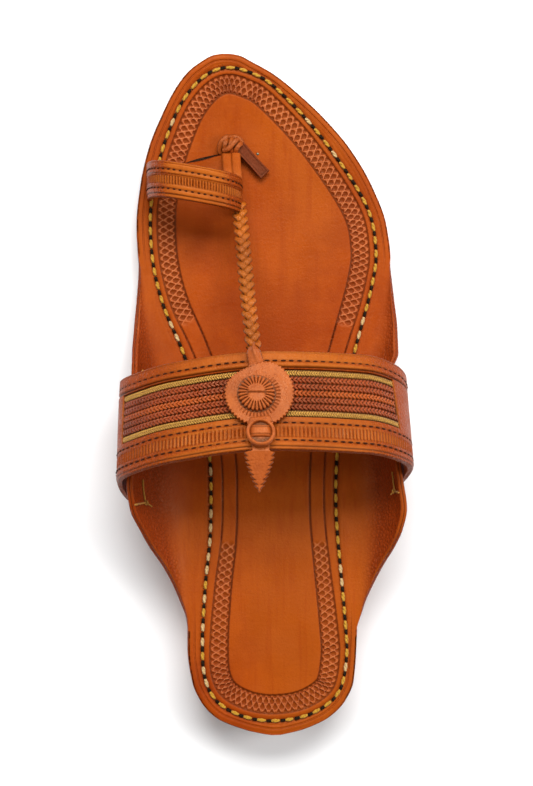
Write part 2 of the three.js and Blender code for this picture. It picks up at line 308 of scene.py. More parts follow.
def resampled(path, count, endpoint=True):
    """Evenly spaced points on a path, their distances along it, and its length."""
    reach = travelled(path)
    wanted = np.linspace(0, reach[-1], count, endpoint=endpoint)
    made = points_at(*(np.interp(wanted, reach, values) for values in path.T))
    return made, wanted, reach[-1]


def right_of(ahead):
    """Directions in plan to the right of others."""
    return points_at(ahead[:, 1], -ahead[:, 0])


# ---------------------------------------------------------------- meshes
def grid_faces(rows, columns, closed_rows=False, closed_columns=False):
    i = np.arange(rows if closed_rows else rows - 1)[:, None]
    j = np.arange(columns if closed_columns else columns - 1)[None, :]
    i2, j2 = (i + 1) % rows, (j + 1) % columns
    corners = [i * columns + j, i * columns + j2, i2 * columns + j2, i2 * columns + j]
    return np.stack([c.ravel() for c in np.broadcast_arrays(*corners)], axis=1)


def facing_out(points, faces):
    """The faces, turned over if the closed surface that they make is inside out."""
    a, b, c, d = (points[faces[:, k]] for k in range(4))
    volume = np.einsum("ij,ij->i", a, np.cross(b, c)).sum() + np.einsum("ij,ij->i", a, np.cross(c, d)).sum()
    return faces[:, ::-1] if volume < 0 else faces


def ring_solid(sections, shades):
    """Closed solid through sections that run round in a ring."""
    points = sections.reshape(-1, 3)
    faces = grid_faces(*sections.shape[:2], closed_rows=True, closed_columns=True)
    return points, facing_out(points, faces), shades.ravel()


def strip_loft(sections, shades):
    """Closed solid through sections; quads across the first and the last one close its ends."""
    rows, columns = sections.shape[:2]
    points = sections.reshape(-1, 3)
    i = np.arange(columns // 2 - 1)
    cap = np.stack([i, i + 1, columns - 2 - i, columns - 1 - i], axis=1)
    faces = grid_faces(rows, columns, closed_columns=True)
    faces = np.vstack([faces, cap[:, ::-1], cap + (rows - 1) * columns])
    return points, facing_out(points, faces), shades.ravel()


def capped_loft(sections, shades, middles=None):
    """Closed solid through sections; a fan round a middle point closes each end."""
    rows, columns = sections.shape[:2]
    if middles is None:
        middles = sections[[0, -1]].mean(axis=1)
    points = np.vstack([sections.reshape(-1, 3), middles])
    j = np.arange(columns)
    k = (j + 1) % columns
    first = np.full(columns, rows * columns)
    last, base = first + 1, (rows - 1) * columns
    start = np.stack([first, j, k, first], axis=1)
    end = np.stack([last, base + k, base + j, last], axis=1)
    faces = np.vstack([grid_faces(rows, columns, closed_columns=True), start, end])
    return points, facing_out(points, faces), np.append(shades, [0, 0])


def slab(top, bottom, shade):
    """Closed sheet: a fine top grid, rows x columns x 3, over a bottom that follows its rows only."""
    under = bottom[:, np.linspace(top.shape[1] - 1, 0, 5).round().astype(int)]
    shades = np.concatenate([shade, np.zeros(under.shape[:2])], axis=1)
    return capped_loft(np.concatenate([top, under], axis=1), shades)


def tube(path, radii, sides=8, up=(0, 0, 1), closed=False, gap_shade=0.0):
    """Round or flattened tube along a path. radii is (across, up), each a number or a list.

    The last argument darkens its sides and underside: painted shade between and under neighbouring strands.
    """
    path = np.asarray(path, float)
    tangent = unit(np.roll(path, -1, 0) - np.roll(path, 1, 0) if closed else np.gradient(path, axis=0))
    across = unit(np.cross(tangent, np.asarray(up, float)))
    lift = unit(np.cross(across, tangent))
    angles = around(sides)
    wide, high = (np.broadcast_to(radius, len(path))[:, None, None] for radius in radii)
    ring = path[:, None] + across[:, None] * wide * np.cos(angles)[None, :, None]
    ring = ring + lift[:, None] * high * np.sin(angles)[None, :, None]
    shades = np.tile(gap_shade * (1 - smooth_step(0.0, 0.75, np.sin(angles))), (len(path), 1))
    return ring_solid(ring, shades) if closed else capped_loft(ring, shades)


def capsule(start, end, radius, up, flat=0.8, steps=6, sides=6, gap_shade=0.0):
    """A short thread between two points, round at both ends."""
    t = (1 - np.cos(np.linspace(0, math.pi, steps))) / 2
    path = mix(np.asarray(start, float), np.asarray(end, float), t[:, None])
    swell = radius * np.sqrt(np.clip(1 - np.abs(2 * t - 1) ** 3, 0.02, 1))
    return tube(path, (swell, swell * flat), sides=sides, up=up, gap_shade=gap_shade)


def joined(parts):
    offset, points, faces, shades = 0, [], [], []
    for p, f, s in parts:
        points.append(p)
        faces.append(f + offset)
        shades.append(s)
        offset += len(p)
    return np.vstack(points), np.vstack(faces), np.concatenate(shades)


SHARP_ANGLE = 50  # degrees; flatter edges are shaded smooth


def build(name, shape, material, replaces=()):
    """A Blender object on the sandal's one body, from a shape in design millimetres."""
    points, faces, shades = shape
    mesh = bpy.data.meshes.new(name)
    triangle = faces[:, 0] == faces[:, 3]
    quads = faces[~triangle]
    triangles = faces[triangle][:, :3]
    loops = np.concatenate([quads.ravel(), triangles.ravel()]).astype(np.int32)
    totals = np.repeat([4, 3], [len(quads), len(triangles)]).astype(np.int32)
    starts = (np.cumsum(totals) - totals).astype(np.int32)
    mesh.vertices.add(len(points))
    mesh.vertices.foreach_set("co", ((points + SHIFT) * MM).astype(np.float32).ravel())
    mesh.loops.add(len(loops))
    mesh.loops.foreach_set("vertex_index", loops)
    mesh.polygons.add(len(totals))
    mesh.polygons.foreach_set("loop_start", starts)
    mesh.polygons.foreach_set("loop_total", totals)
    mesh.polygons.foreach_set("use_smooth", np.ones(len(totals), bool))
    mesh.update(calc_edges=True)
    mesh.validate()
    mesh.set_sharp_from_angle(angle=math.radians(SHARP_ANGLE))
    shade = mesh.attributes.new("shade", "FLOAT", "POINT")
    shade.data.foreach_set("value", np.clip(shades, -1, 1).astype(np.float32))
    mesh.materials.append(material)
    obj = bpy.data.objects.new(name, mesh)
    bpy.context.scene.collection.objects.link(obj)
    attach(obj, "root")
    if replaces:
        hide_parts(*replaces)


# ---------------------------------------------------------------- materials
RUBBED_AND_HIGHLIGHT = (0.60, 0.22, 0.090)  # colour of raised ridges: partly where wear has taken the oil off, partly a painted highlight
OIL_TINT = (1.0, 0.62, 0.36)  # reflections in the oiled finish are warm
MIX_FACTOR, MIX_A, MIX_B, MIX_RESULT = 0, 6, 7, 2  # a mix node's colour sockets share their names


class Nodes:
    """Short names for the nodes that the materials below are made of."""

    def __init__(self, name):
        self.material = bpy.data.materials.new(name)
        self.material.use_nodes = True
        self.tree = self.material.node_tree
        self.shader = self.tree.nodes["Principled BSDF"]

    def add(self, kind, **inputs):
        node = self.tree.nodes.new(kind)
        for key, value in inputs.items():
            self.put(node, key.replace("_", " "), value)
        return node

    def put(self, node, key, value):
        """Link an input to another node's output, or set it to a number or a colour."""
        if hasattr(value, "is_output"):
            self.tree.links.new(value, node.inputs[key])
        else:
            node.inputs[key].default_value = value

    def place(self, scale=(1, 1, 1)):
        """Object coordinates in millimetres, stretched by a scale."""
        place = self.add("ShaderNodeTexCoord").outputs["Object"]
        node = self.add("ShaderNodeMapping", Vector=place, Scale=[s / MM for s in scale])
        return node.outputs["Vector"]

    def noise(self, scale, detail=3, rough=0.5, stretch=(1, 1, 1)):
        place = self.place(stretch)
        node = self.add("ShaderNodeTexNoise", Vector=place, Scale=scale, Detail=detail, Roughness=rough)
        return node.outputs["Fac"]

    def cells(self, scale, feature="F1", stretch=(1, 1, 1)):
        node = self.add("ShaderNodeTexVoronoi", Vector=self.place(stretch), Scale=scale)
        node.feature = feature
        return node.outputs["Distance"]

    def ramp(self, value, low, high, start=0.0, end=1.0):
        node = self.add("ShaderNodeMapRange", Value=value, From_Min=low, From_Max=high)
        self.put(node, "To Min", start)
        self.put(node, "To Max", end)
        node.interpolation_type = "SMOOTHSTEP"
        return node.outputs["Result"]

    def math(self, operation, a, b=0.0):
        node = self.add("ShaderNodeMath")
        node.operation = operation
        self.put(node, 0, a)
        self.put(node, 1, b)
        return node.outputs[0]

    def blend(self, factor, a, b):
        """Colour a where the factor is 0, b where it is 1."""
        node = self.add("ShaderNodeMix")
        node.data_type = "RGBA"
        self.put(node, MIX_FACTOR, factor)
        for key, colour in ((MIX_A, a), (MIX_B, b)):
            self.put(node, key, colour if hasattr(colour, "is_output") else (*colour, 1))
        return node.outputs[MIX_RESULT]

    def normal_z(self):
        normal = self.add("ShaderNodeNewGeometry").outputs["Normal"]
        return self.add("ShaderNodeSeparateXYZ", Vector=normal).outputs["Z"]

    def shade(self):
        node = self.add("ShaderNodeAttribute")
        node.attribute_name = "shade"
        return node.outputs["Fac"]

    def bump(self, height, distance, strength=1.0, normal=None):
        node = self.add("ShaderNodeBump", Strength=strength, Distance=distance * MM, Height=height)
        if normal is not None:
            self.put(node, "Normal", normal)
        return node.outputs["Normal"]

    def finish(self, colour, rough, normal, specular, metal=0.0, sheen=0.0):
        s = self.shader
        self.put(s, "Base Color", colour)
        self.put(s, "Roughness", rough)
        self.put(s, "Normal", normal)
        s.inputs["Specular IOR Level"].default_value = specular
        s.inputs["Specular Tint"].default_value = (*OIL_TINT, 1)
        s.inputs["Metallic"].default_value = metal
        s.inputs["Sheen Weight"].default_value = sheen
        return self.material


def darker(colour, share):
    return tuple(c * share for c in colour)


def dyed(n, colours, streaks, specks):
    """The uneven colour of oiled hide: mottle, broad pale patches, streaks along the foot and specks."""
    base, deep, pale = colours
    mottle = n.ramp(n.noise(0.035, detail=4, rough=0.6), 0.38, 0.66)
    patches = n.ramp(n.noise(0.011, detail=2, stretch=(1, 0.6, 1)), 0.38, 0.64)
    streak = n.ramp(n.noise(0.4, detail=3, rough=0.6, stretch=(1, 0.06, 1)), 0.45, 0.72)
    speck = n.ramp(n.noise(0.8, detail=4, rough=0.65), 0.54, 0.74)
    colour = n.blend(mottle, base, deep)
    colour = n.blend(n.math("MULTIPLY", patches, 0.6), colour, pale)
    colour = n.blend(n.math("MULTIPLY", streak, 0.5 * streaks), colour, deep)
    return n.blend(n.math("MULTIPLY", speck, specks), colour, deep)


def leather(name, colours, grain=1.0, rough=0.42, gloss=0.22, streaks=0.5, specks=0.35, steep_shade=None):
    """Oiled vegetable-tanned leather with a pebbled grain. Colours are base, deep and pale.

    Where a piece curves up from the flat, its colour turns towards the given steep colour, painted shade for
    the less light that upright faces get; painted shade also darkens its grain's creases there, and its
    grain is open.
    Above 0 the shade attribute darkens grooves and recesses, as painted shade, and the leather's own dark
    lines and edges; below 0 it pales raised ridges, partly by wear and partly as a painted highlight.
    """
    n = Nodes(name)
    colour = dyed(n, colours, streaks, specks)
    raised = n.ramp(n.cells(0.8 / grain, stretch=(1, 0.8, 1)), 0.62, 0.1)
    seams = n.ramp(n.cells(0.8 / grain, "DISTANCE_TO_EDGE", (1, 0.8, 1)), 0.0, 0.12)
    depth = 0.35
    if steep_shade:
        steepness = n.ramp(n.math("ABSOLUTE", n.normal_z()), 0.985, 0.72)
        # Painted shade: steep faces are darkened, and so are the creases of their grain.
        colour = n.blend(steepness, colour, steep_shade)
        pit = n.math("MULTIPLY", n.math("SUBTRACT", 1.0, seams), n.math("MULTIPLY", steepness, 0.4))
        colour = n.blend(pit, colour, darker(steep_shade, 0.3))
        depth = n.math("ADD", n.math("MULTIPLY", steepness, 1.05), 0.14)
    shade = n.shade()
    # Painted shade above 0; below 0, ridges paled partly by wear and partly as a painted highlight.
    colour = n.blend(shade, colour, darker(colours[1], 0.16))
    colour = n.blend(n.math("MULTIPLY", shade, -1.0), colour, RUBBED_AND_HIGHLIGHT)
    normal = n.bump(n.math("MULTIPLY", raised, depth), 0.16)
    normal = n.bump(n.math("MULTIPLY", seams, depth), 0.08, 1.0, normal)
    normal = n.bump(n.noise(0.55, detail=3, rough=0.6, stretch=(0.35, 1, 1)), 0.14, 0.6, normal)
    normal = n.bump(n.noise(1.5 / grain, detail=4, rough=0.65), 0.12, 0.7, normal)
    matt = n.ramp(n.noise(0.09, detail=4), 0.3, 0.7, rough - 0.07, rough + 0.1)
    return n.finish(colour, matt, normal, gloss)


def edge_leather(name, base, deep):
    """Cut and burnished leather edge: fine layers along the sole, in a slab of stacked hide."""
    n = Nodes(name)
    layers = n.noise(1.1, detail=3, stretch=(0.05, 0.05, 1))
    fibre = n.noise(1.5, detail=4, rough=0.7)
    colour = n.blend(n.ramp(layers, 0.35, 0.65), base, deep)
    colour = n.blend(n.math("MULTIPLY", n.ramp(fibre, 0.5, 0.8), 0.4), colour, deep)
    colour = n.blend(n.shade(), colour, darker(deep, 0.25))
    normal = n.bump(layers, 0.25, 0.5)
    normal = n.bump(fibre, 0.12, 0.5, normal)
    return n.finish(colour, n.ramp(fibre, 0.3, 0.7, 0.5, 0.68), normal, 0.25)


def thread(name, base, deep, rough=0.5, metal=0.0, sheen=0.15):
    """Twisted thread: fine ply lines, and lint that catches light."""
    n = Nodes(name)
    ply = n.noise(3.5, detail=2)
    colour = n.blend(n.ramp(ply, 0.35, 0.7), base, deep)
    colour = n.blend(n.shade(), colour, darker(deep, 0.3))
    matt = n.ramp(ply, 0.3, 0.7, rough - 0.08, rough + 0.1)
    return n.finish(colour, matt, n.bump(ply, 0.12, 0.6), 0.2, metal, sheen)


# Colours of the leathers: base, deep and pale.
TAN = (0.33, 0.048, 0.0020), (0.25, 0.030, 0.0012), (0.36, 0.074, 0.0045)
STRAP = (0.37, 0.078, 0.0070), (0.22, 0.036, 0.0035), (0.44, 0.120, 0.0120)
TRIM = (0.36, 0.070, 0.0100), (0.22, 0.034, 0.0050), (0.43, 0.115, 0.0220)
PLAIT = (0.23, 0.026, 0.0035), (0.12, 0.012, 0.002), (0.34, 0.056, 0.008)
PLAIT_BRIGHT = (0.33, 0.048, 0.004), (0.2, 0.024, 0.002), (0.43, 0.085, 0.009)
BRAID = (0.36, 0.066, 0.0030), (0.17, 0.026, 0.0015), (0.52, 0.150, 0.011)
TIE = (0.33, 0.056, 0.0035), (0.25, 0.030, 0.0012), (0.38, 0.085, 0.008)
KNOT = (0.29, 0.044, 0.005), (0.13, 0.016, 0.002), (0.42, 0.095, 0.010)
THONG = (0.14, 0.024, 0.008), (0.05, 0.009, 0.004), (0.24, 0.046, 0.011)
# Colours that steep faces turn towards: painted shade, as upright faces get less light.
EAR_WALL_SHADE = (0.24, 0.030, 0.0022)
STRAP_SIDE_SHADE = (0.30, 0.045, 0.0020)

insole_leather = leather("insole_leather", TAN, streaks=0.7, steep_shade=EAR_WALL_SHADE)
strap_leather = leather("strap_leather", STRAP, grain=0.8, rough=0.34, gloss=0.16, steep_shade=STRAP_SIDE_SHADE)
trim_leather = leather("trim_leather", TRIM, grain=0.9, gloss=0.4, specks=1.0)
plait_leather = leather("plait_leather", PLAIT, grain=0.5, rough=0.3, gloss=0.55)
plait_bright = leather("plait_bright", PLAIT_BRIGHT, grain=0.5, rough=0.3, gloss=0.5)
braid_leather = leather("braid_leather", BRAID, grain=0.5, rough=0.32, gloss=0.4)
tie_leather = leather("tie_leather", TIE, grain=0.7, gloss=0.3)
knot_leather = leather("knot_leather", KNOT, grain=0.5, rough=0.36, gloss=0.5, specks=0.8)
thong_leather = leather("thong_leather", THONG, grain=0.8, rough=0.5)
sole_leather = edge_leather("sole_leather", (0.30, 0.058, 0.007), (0.17, 0.028, 0.004))
gold_braid = thread("gold_braid", (0.56, 0.30, 0.055), (0.20, 0.075, 0.012), rough=0.42, metal=0.3)
gold_thread = thread("gold_thread", (0.52, 0.29, 0.025), (0.32, 0.14, 0.010))
cream_thread = thread("cream_thread", (0.58, 0.43, 0.21), (0.36, 0.2, 0.06))
dark_thread = thread("dark_thread", (0.010, 0.007, 0.005), (0.004, 0.003, 0.002), rough=0.7, sheen=0.0)
brown_thread = thread("brown_thread", (0.045, 0.008, 0.003), (0.018, 0.004, 0.002), rough=0.7, sheen=0.0)
tie_thread = thread("tie_thread", (0.42, 0.2, 0.03), (0.24, 0.08, 0.01))
brass = thread("tack_brass", (0.2, 0.2, 0.14), (0.1, 0.1, 0.07), rough=0.4, metal=0.6, sheen=0.0)


# ---------------------------------------------------------------- sole
def underside(y):
    return along(UNDERSIDE, y, 1)


def insole_top(y):
    return underside(y) + OUTSOLE_THICKNESS + GAP + INSOLE_THICKNESS


def sole_edges(y):
    return along(SOLE_OUTLINE, y, 1), along(SOLE_OUTLINE, y, 2)


def stations(first, last, count):
    """Places along the sole, closer together at both ends."""
    return mix(first, last, (1 - np.cos(np.linspace(0, math.pi, count))) / 2)


def rim(radius):
    """Inset and drop of a rounded edge, from the flat to the wall."""
    angles = np.linspace(0, math.pi / 2, 5)
    return list(zip(radius * (1 - np.sin(angles)), radius * (1 - np.cos(angles))))


def stacked_block(ys, inset, low, high, lines):
    """A sole layer with rounded rims and, round its wall, the dark lines between layers of hide."""
    medial, lateral = sole_edges(ys)
    centre, half = (medial + lateral) / 2, (lateral - medial) / 2 - inset
    rows = [(1, -drop, inward) for inward, drop in rim(0.8)]
    rows += [(fraction, 0, 0) for fraction in np.linspace(0.88, 0.12, 21)]
    rows += [(0, drop, inward) for inward, drop in reversed(rim(0.8))]
    rings, shades = [], []
    for fraction, lift, inward in rows:
        z = mix(low, high, fraction) + lift
        dent = sum(bell((fraction - line) * np.mean(high - low), 0.35) for line in lines)
        reach = np.maximum(half - inward - 0.25 * dent, 0.2)
        rings.append(np.vstack([points_at(centre - reach, ys, z), points_at(centre + reach, ys, z)[::-1]]))
        shades.append(np.full(2 * len(ys), min(1.0, 0.75 * dent)))
    return strip_loft(np.stack(rings), np.stack(shades))


def side_curve(y, side, t, depth):
    """Points on the top layer beside the flat: t from the flat to the edge, depth above its underside."""
    sign = -1 if side == 1 else 1
    flat = along(SOLE_OUTLINE, y, side)
    in_ears = (y > EARS[0, 0]) & (y < EARS[-1, 0])
    reach = np.where(in_ears, along(EARS, y, 2 * side - 1), flat)
    rise = np.where(in_ears, along(EARS, y, 2 * side), 0)
    start = flat - sign * EAR_START_INSET
    run = sign * (reach - start)
    turn = np.maximum(2 * np.arctan2(rise, run), 1e-4)
    radius = run / np.sin(turn)
    angle = turn * t
    x = start + sign * (radius * np.sin(angle) - depth * np.sin(angle))
    z = insole_top(y) - INSOLE_THICKNESS + radius * (1 - np.cos(angle)) + depth * np.cos(angle)
    return points_at(x, y, z), turn * radius


def stitch_line(count):
    """The stitching in plan, the direction inwards from it, and its length."""
    path, reach, total = spline(STITCH_PATH, count, closed=True)
    inward = right_of(unit(np.roll(path, -1, 0) - np.roll(path, 1, 0)))
    return path, inward, reach, total


TOOL_PITCH = 3.1  # of the border's lattice, along the stitches
TOOL_ROWS = 3
BORDER = (-1.2, 12.2)  # distances from the stitches that the border covers
BORDER_LOWERED = 0.9  # how far the insole lies below its tooled border
TOOLED_FRONT = 169  # the tooling stops here, under the band's toe side
TOOLED_BACK = 82  # and starts again here, in the waist


def border_lines(y):
    """Distances of the two scribed lines from the stitches: wider set in the waist."""
    waist = smooth_step(20, 95, y) * (1 - smooth_step(130, 185, y))
    return 3.0 + 1.9 * waist, 10.5 + 0.5 * waist


def insole_side(ys, side):
    """Lines along one side of the insole, from the flat over the edge to its underside, and their shades."""
    skin = INSOLE_THICKNESS
    rounding = [(0.9, skin), (0.45, skin - 0.1), (0.12, skin - 0.45), (0, skin - 0.95), (0, skin / 2 + 0.25)]
    rounding += [(0.22, skin / 2), (0, skin / 2 - 0.25), (0, 0.9), (0.15, 0.3), (0.8, 0)]
    lines = [side_curve(ys, side, t, skin)[0] for t in np.linspace(0, 1, 26)[1:-1]]
    tones = [0] * len(lines)
    length = side_curve(ys, side, 1.0, skin)[1]
    for inset, depth in rounding:
        place = 1 - np.minimum(inset / np.maximum(length, 1), 0.5)
        lines.append(side_curve(ys, side, place, depth)[0])
        tones.append(0.8 if depth == skin / 2 else 0.12)
    lines += [side_curve(ys, side, t, 0)[0] for t in (0.5, 0.0)]
    return lines, [*tones, 0, 0]


def insole_shape():
    ys = stations(0, LENGTH, 330)
    (medial, medial_tones), (lateral, lateral_tones) = insole_side(ys, 1), insole_side(ys, 2)
    left, right = side_curve(ys, 1, 0.0, INSOLE_THICKNESS)[0], side_curve(ys, 2, 0.0, INSOLE_THICKNESS)[0]
    middle = [mix(left, right, u) for u in np.linspace(0, 1, 60)]
    beneath = [mix(lateral[-1], medial[-1], u) for u in (0.25, 0.5, 0.75)]
    sections = np.stack([*medial[::-1], *middle, *lateral, *beneath], axis=1)
    tones = np.array([*medial_tones[::-1], *[0] * len(middle), *lateral_tones, 0, 0, 0], float)
    flat = len(medial)
    sunk = sections[:, flat - 6 : flat + len(middle) + 6]
    sunk[..., 2] -= BORDER_LOWERED * under_border(sunk[..., 0], sunk[..., 1])
    return strip_loft(sections, np.tile(tones, (len(ys), 1)))


def under_border(x, y):
    """1 where the tooled border covers the insole, 0 elsewhere."""
    path, inward, _, _ = stitch_line(900)
    covered = np.zeros(x.shape)
    for row, places in enumerate(np.stack([x, y], axis=-1)):
        gap = places[:, None] - path
        nearest = np.argmin((gap**2).sum(-1), axis=1)
        depth = (gap[np.arange(len(gap)), nearest] * inward[nearest]).sum(-1)
        covered[row] = (depth > BORDER[0]) & (depth < BORDER[1])
    return covered


def ridge(value, width):
    """1 on the lines where value is whole, falling away over a width given in the same units."""
    away = np.abs((value + 0.5) % 1 - 0.5)
    return bell(away, width)


def tooling(s, d, low, high):
    """Height, 0 to 1, of the pattern left standing between the scribed lines: a lattice with studs."""
    u = s / TOOL_PITCH
    v = (d - low) / (high - low) * TOOL_ROWS
    lattice = np.maximum(ridge(u + v / 2, 0.13), ridge(u - v / 2, 0.13))
    cell_u = (u + 0.5 * (np.floor(v) % 2) + 0.5) % 1 - 0.5
    cell_v = v % 1 - 0.5
    reach = np.hypot(cell_u * TOOL_PITCH, cell_v * (high - low) / TOOL_ROWS)
    rims = smooth_step(0.15, 0.08, v) + smooth_step(TOOL_ROWS - 0.15, TOOL_ROWS - 0.08, v)
    teeth = ridge(u * 3, 0.2) * rims
    return np.clip(lattice + 0.8 * bell(reach, 0.34) + 0.6 * teeth, 0, 1)


def offset_lines(path, inward, distances):
    """x and y of lines that keep these distances from a path in plan."""
    return np.moveaxis(path[:, None] + inward[:, None] * distances[:, None], -1, 0)


def border_shape():
    """The stitched and tooled border, pressed into the insole."""
    path, inward, s, total = stitch_line(1650)
    s = s * round(total / TOOL_PITCH) * TOOL_PITCH / total
    d = np.concatenate([np.linspace(-2.4, 2.3, 12), np.linspace(2.55, 11.6, 38), [12.2, 13.2, 14.4]])
    x, y = offset_lines(path, inward, d)
    reach, depth = grid(s, d)
    station = grid(path[:, 1], d)[0]
    low, high = border_lines(station)
    ends = smooth_step(TOOLED_FRONT, TOOLED_FRONT + 3, station)
    ends = ends + smooth_step(TOOLED_BACK, TOOLED_BACK - 3, station)
    inside = ends * smooth_step(0.05, 0.5, depth - low) * smooth_step(0.05, 0.5, high - depth)
    standing = tooling(reach, depth, low, high)
    lines = groove(depth - low, 0.36, 0.45) + groove(depth - high, 0.38, 0.5)
    channel = groove(depth, 1.0, 0.45)
    z = insole_top(y) + 0.03 + channel + lines - 0.6 * inside * (1 - standing)
    contrast = mix(0.8, 1.0, smooth_step(60, 120, station))
    # Painted shade in the tooling's recesses, the scribed lines and the stitch channel; the standing ridges
    # go pale, partly worn and partly a painted highlight.
    shade = inside * contrast * (0.56 - 1.12 * standing) - 1.6 * lines - 0.55 * channel
    top = points_at(x, y, z)
    bottom = top[:, [-1, 24, 0]]  # both sides and a middle line are enough under it
    bottom[..., 2] = insole_top(bottom[..., 1]) - 1.2
    shades = np.concatenate([shade, np.zeros(bottom.shape[:2])], axis=1)
    return ring_solid(np.concatenate([top, bottom], axis=1), shades)


def outline_path(first, last, count):
    """The sole's outline round the heel or the toe, the direction inwards from it, and its length."""
    ys = stations(first, last, 400)
    medial, lateral = sole_edges(ys)
    turn = -1 if first == 0 else 1
    outline = np.append(points_at(medial, ys)[::turn], points_at(lateral, ys)[::-turn], axis=0)
    path, reach, total = resampled(outline, count)
    return path, turn * right_of(unit(np.gradient(path, axis=0))), reach, total


def edge_bead_shape():
    """The raised rim along heel and forefoot, with the creased line beside it."""
    crease = 2.7
    parts = []
    for first, last in ((0, 56), (192, LENGTH)):
        path, inward, s, total = outline_path(first, last, 620)
        d = np.array([0.75, 1.1, 1.5, 1.9, 2.2, 2.4, 2.55, crease, 2.85, 3.0, 3.2, 3.6, 4.1])
        x, y = offset_lines(path, inward, d)
        fade = smooth_step(0, 16, np.minimum(s, total - s))[:, None]
        bead = 0.2 * smooth_step(0.75, 1.6, d) * smooth_step(4.1, 3.2, d) + groove(d - crease, 0.24, 0.4)
        top = points_at(x, y, insole_top(y) + 0.02 + fade * bead)
        parts.append(slab(top, top - (0, 0, 0.5), fade * 0.95 * bell(d - crease, 0.24)))
    return joined(parts)


PLY_TURN = 4  # length of thread in which its two plies turn once


def twisted_stitch(start, end, radius):
    """One stitch of two-ply thread lying in its channel."""
    parts = []
    length = np.linalg.norm(end - start)
    ahead = (end - start) / length
    across, up = np.array([ahead[1], -ahead[0], 0]), np.array([0, 0, 1])
    t = np.linspace(0, 1, 9)[:, None]
    arch = np.sqrt(np.clip(1 - (2 * t - 1) ** 4, 0, 1))
    thick = radius * 0.8 * np.clip(arch[:, 0] + 0.15, 0, 1)
    for phase in (0, math.pi):
        turn = phase + 2 * math.pi * t * length / PLY_TURN
        sway = 0.36 * radius * (np.cos(turn) * across + np.sin(turn) * up)
        path = mix(start, end, t) + sway + 0.42 * arch * up
        parts.append(tube(path, (thick, thick), sides=6))
    return parts


STITCH_PITCH = 5.9
GOLD_SHARE = 0.62
STITCH_RADIUS = 0.68
CREAM_FROM, CREAM_TO = 20, 185  # between these more of the thread has paled


def sole_stitches():
    path, _, s, total = stitch_line(3000)
    count = round(total / STITCH_PITCH)
    pitch = total / count
    gold, cream, dark = [], [], []

    def at(reach):
        reach = reach % total
        x, y = np.interp(reach, s, path[:, 0]), np.interp(reach, s, path[:, 1])
        return np.array([x, y, insole_top(y) - 0.12])

    for k in range(count):
        here = k * pitch + rng.uniform(-0.25, 0.25)
        middle = here + GOLD_SHARE * pitch + rng.uniform(-0.25, 0.25)
        start, turn, end = at(here), at(middle), at((k + 1) * pitch - 0.35)
        odds = 0.42 if CREAM_FROM < start[1] < CREAM_TO else 0.08
        paled = rng.random() < odds
        (cream if paled else gold).extend(twisted_stitch(start, turn, STITCH_RADIUS))
        ahead = unit(end - turn)
        dark.extend(twisted_stitch(turn + 0.15 * ahead, end, STITCH_RADIUS))
    return gold, cream, dark


def make_sole():
    ys = stations(0, LENGTH, 260)
    low = underside(ys)
    outsole = stacked_block(ys, 0, low, low + OUTSOLE_THICKNESS, (0.36, 0.68))
    build("outsole_leather", outsole, sole_leather, ["outsole"])
    ys = mix(HEEL_INSET, HEEL_BREAST, 1 - np.cos(np.linspace(0, math.pi / 2, 120)))
    heel = stacked_block(ys, HEEL_INSET, 0 * ys, underside(ys) - GAP, (0.3, 0.62))
    build("heel_stack", heel, sole_leather, ["heel"])
    build("insole_and_ears", insole_shape(), insole_leather, ["insole"])
    build("insole_border", border_shape(), insole_leather)
    build("insole_edge_bead", edge_bead_shape(), insole_leather)
    gold, cream, dark = sole_stitches()
    build("sole_stitches_gold", joined(gold), gold_thread)
    build("sole_stitches_cream", joined(cream), cream_thread)
    build("sole_stitches_dark", joined(dark), dark_thread)


# ---------------------------------------------------------------- instep band
def band_point(angle, across):
    """A point on the band's outer face: degrees round the arch, 0 toe edge to 1 heel edge."""
    arch = {key: mix(BAND_TOE_EDGE[key], BAND_HEEL_EDGE[key], across) for key in BAND_TOE_EDGE}
    y = mix(along(BAND_EDGES, angle, 1), along(BAND_EDGES, angle, 2), across)
    turn = np.radians(angle)
    x = arch["centre"] - arch["half_width"] * np.cos(turn)
    z = arch["base"] + arch["rise"] * np.sin(turn)
    return points_at(x, y, z)


def band_normal(angle, across):
    around = band_point(angle + 0.5, across) - band_point(angle - 0.5, across)
    over = band_point(angle, across - 0.02) - band_point(angle, across + 0.02)
    return unit(np.cross(around, over))


def on_band(angle, width, lift):
    """The point at an angle and a distance in millimetres from the toe edge, lifted off the band."""
    across = width / BAND_WIDTH
    return band_point(angle, across) + band_normal(angle, across) * np.asarray(lift)[..., None]


def over_band(x, y, lift):
    """The point over a place in plan; past the heel edge it runs on and droops, as the leaf does."""
    inside = np.maximum(y, LEAF_LEAVES_BAND)
    past = inside - y
    across = np.full(np.shape(x), 0.5)
    for _ in range(8):  # each round comes nearer to the place across the band
        centre = mix(BAND_TOE_EDGE["centre"], BAND_HEEL_EDGE["centre"], across)
        half = mix(BAND_TOE_EDGE["half_width"], BAND_HEEL_EDGE["half_width"], across)
        angle = 180 - np.degrees(np.arccos((x - centre) / half))
        toe = along(BAND_EDGES, angle, 1)
        across = (toe - inside) / (toe - along(BAND_EDGES, angle, 2))
    point = on_band(angle, across * BAND_WIDTH, lift)
    point[..., 1] -= past
    point[..., 2] -= LEAF_DROOP * past
    return point


BAND_SPAN = (-22, 202)  # degrees round the arch
